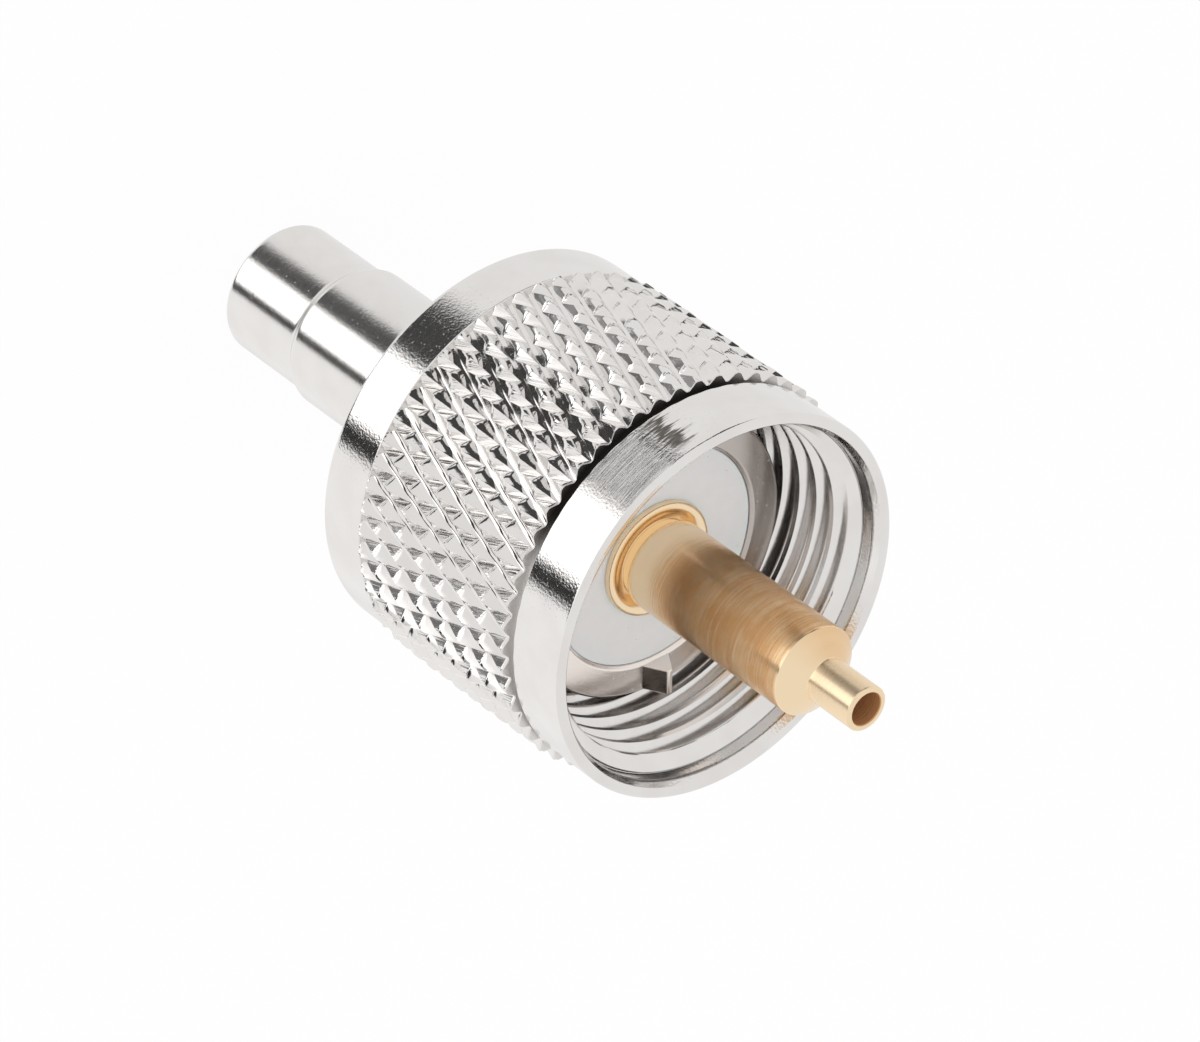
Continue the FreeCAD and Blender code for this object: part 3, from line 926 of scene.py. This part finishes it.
outside = [
    (INSIDE, NUT_FOOT, 0.05),
    (REAR_BAND - 0.2, NUT_FOOT, 0.08),
    (REAR_BAND, NUT_FOOT + 0.2, 0.1),
    (REAR_BAND, KNURL_FOOT, 0.05),
    (UNDERCUT, KNURL_FOOT),
    (UNDERCUT, BAND_REAR),
    (BAND, BAND_REAR, 0.06),
    (BAND, RIM - 0.12, 0.08),
    (BAND - 0.12, RIM, 0.06),
    (RIM_INNER, RIM, 0.1),
    (COUNTERBORE, RIM - 0.42, 0.1),
    (COUNTERBORE, THREAD_TOP, 0.06),
    (MAJOR, THREAD_TOP),
    (INSIDE + 0.1, THREAD_TOP),
    (INSIDE + 0.1, NUT_FOOT + 0.1),
]
lip = [
    (INSIDE, NUT_FOOT),
    (LIP, NUT_FOOT, 0.08),
    (LIP, NUT_FOOT + 0.97, 0.05),
    (RING_GROOVE, NUT_FOOT + 0.97),
    (RING_GROOVE, NUT_FOOT + 1.92),
    (LIP, NUT_FOOT + 1.92, 0.05),
    (LIP, NUT_FOOT + 2.87, 0.05),
    (COUNTERBORE, NUT_FOOT + 2.87),
    (COUNTERBORE, THREAD_FOOT),
    (MAJOR, THREAD_FOOT),
    (INSIDE + 0.05, THREAD_FOOT),
    (INSIDE + 0.05, NUT_FOOT + 0.05),
]
shells = [(*spun(softened(outside), 240), 1), (*spun(softened(lip), 128), 2), (*knurl, 0), (*thread, 2)]
piece("coupling_nut_knurled", shells, [knurl_nickel, band_nickel, thread_nickel], "nut",
      ["coupling_nut"], sharp=30)

# %% [markdown]
# ## The studio
# Bright metal shows its room, so the room is the other half of a finish. The plug was photographed in a
# white tent: pale all round, a bright soft box on the left, dark gaps beside it and an opening overhead.
# That room is drawn in the world by direction. The plug lay tilted in it and stands upright here, so the
# room's own upright is slanted: three constant vectors say where the room's left, top and front lie.

# %% Directions of the room
LEFT = (0.0, -0.77629, -0.63038)
TOP = (-0.8104, 0.36932, -0.45481)
FRONT = (-0.58588, -0.51086, 0.6291)

world = bpy.data.worlds.new("studio")
world.use_nodes = True
bpy.context.scene.world = world
room = Wire(world.node_tree)
direction = room.node("TexCoord", out=0)


def towards(axis):
    """How far the direction points along an axis of the room."""
    return room.node("VectorMath", {"operation": "DOT_PRODUCT"}, {0: direction, 1: axis}, out=1)


left, top, front = towards(LEFT), towards(TOP), towards(FRONT)
swing = front.sums("ARCTAN2", front, left) * (180 / math.pi)
lift = room.node("Math", {"operation": "ARCSINE"}, {0: top}) * (180 / math.pi)
square = [round(Vector(one).dot(Vector(two)), 3) for one, two in ((LEFT, TOP), (TOP, FRONT))]
print("the room's axes are square to each other:", square)

# %% [markdown]
# ## The tent
# Each light or gap is a mask between two angles, or between two shares of an axis. The soft box hung
# slanted, so its edges and those of the gap beside it follow a slanted pair of angles. The camera sees
# plain white instead, through the light path.

# %% World
PALE = 0.865
GLOW = 0.09
SOFT_BOX = 0.7
WARMTH = (1, 0.992, 0.982)
SLANT = (0.78, 0.62)


def between(value, low, high, soft):
    """1 between low and high, fading to 0 within soft outside them."""
    return step(value, low - soft, low) * step(value, high + soft, high)


slant = lift * SLANT[0] + swing * SLANT[1]
run = swing * SLANT[0] - lift * SLANT[1]
soft_box = step(slant, 9, 11.5) * step(lift, 41, 38) * step(swing, 44, 14)
front_glow = between(swing, -60, 30, 20) * between(lift, -40, 6, 14)
gap_side = between(slant, 0, 8, 2.5) * between(run, -18, 18, 10)
gap_back = between(swing, -27, -17, 1.5) * between(lift, 12, 41, 3)
strip = between(front, 0.01, 0.22, 0.03) * between(left, -0.26, 0.70, 0.035)
patch = between(front, -0.2, 0.26, 0.03) * between(left, -0.38, -0.05, 0.03)
opening = strip.sums("MAXIMUM", strip, patch) * step(top, 0.0, 0.1)
level = PALE + front_glow * GLOW + soft_box * SOFT_BOX
level = level * (1 - gap_side * 0.96) * (1 - gap_back * 0.8) * (1 - opening * 0.93)
warm = room.node("CombineColor", None, {place: level * share for place, share in enumerate(WARMTH)})
plain = room.node("Background", None, {"Color": warm})
seen = room.node("Background", None, {"Color": (1, 1, 1, 1)})
ray = room.node("LightPath", out=0)
both = room.node("MixShader", None, {0: ray, 1: plain, 2: seen})
world.node_tree.links.new(both.socket, world.node_tree.nodes["World Output"].inputs["Surface"])
print("tent at", PALE, "with a soft box of", SOFT_BOX, "more and three dark gaps")

# %% [markdown]
# ## The floor
# The plug stands on a plain pale sheet. It is white to the eye and keeps the plug's soft shadow, while
# the metal sees the tent's own lower side instead of the sheet, as it did when it was photographed above
# it.

# %% Floor
SHEET_HALF = 2

mesh = bpy.data.meshes.new("floor")
sheet_corners = [(x * SHEET_HALF, y * SHEET_HALF, 0) for x, y in ((-1, -1), (1, -1), (1, 1), (-1, 1))]
mesh.from_pydata(sheet_corners, [], [(0, 1, 2, 3)])
floor = bpy.data.objects.new("floor", mesh)
bpy.context.scene.collection.objects.link(floor)
floor.visible_glossy = False
paper = bpy.data.materials.new("paper")
paper.use_nodes = True
sheet = Wire(paper.node_tree)
matt = sheet.node("BsdfDiffuse", None, {"Color": (0.97, 0.97, 0.97, 1)})
glow = sheet.node("Emission", None, {"Color": (1, 1, 1, 1), "Strength": 1.0})
ray = sheet.node("LightPath", out=0)
both = sheet.node("MixShader", None, {0: ray * 0.95, 1: matt, 2: glow})
paper.node_tree.links.new(both.socket, paper.node_tree.nodes["Material Output"].inputs["Surface"])
mesh.materials.append(paper)
print("floor", 2 * SHEET_HALF, "m wide")

# %% [markdown]
# ## The lamp
# The tent gives nearly all the light. One weak wide lamp stands beyond the camera and gives the plug's
# shadow a direction. It doesn't show in the metal, which mirrors the tent.

# %% Lamp
LAMP_PLACE = Vector((-0.25, -0.3, 0.5))

lamp = bpy.data.lights.new("soft_lamp", "AREA")
lamp.energy = 0.35
lamp.size = 0.3
lamp_object = bpy.data.objects.new("soft_lamp", lamp)
lamp_object.location = LAMP_PLACE
lamp_object.rotation_euler = LAMP_PLACE.to_track_quat("Z", "Y").to_euler()
lamp_object.visible_glossy = False
bpy.context.scene.collection.objects.link(lamp_object)
print("lamp", round(LAMP_PLACE.length, 2), "m away at", lamp.energy, "W")
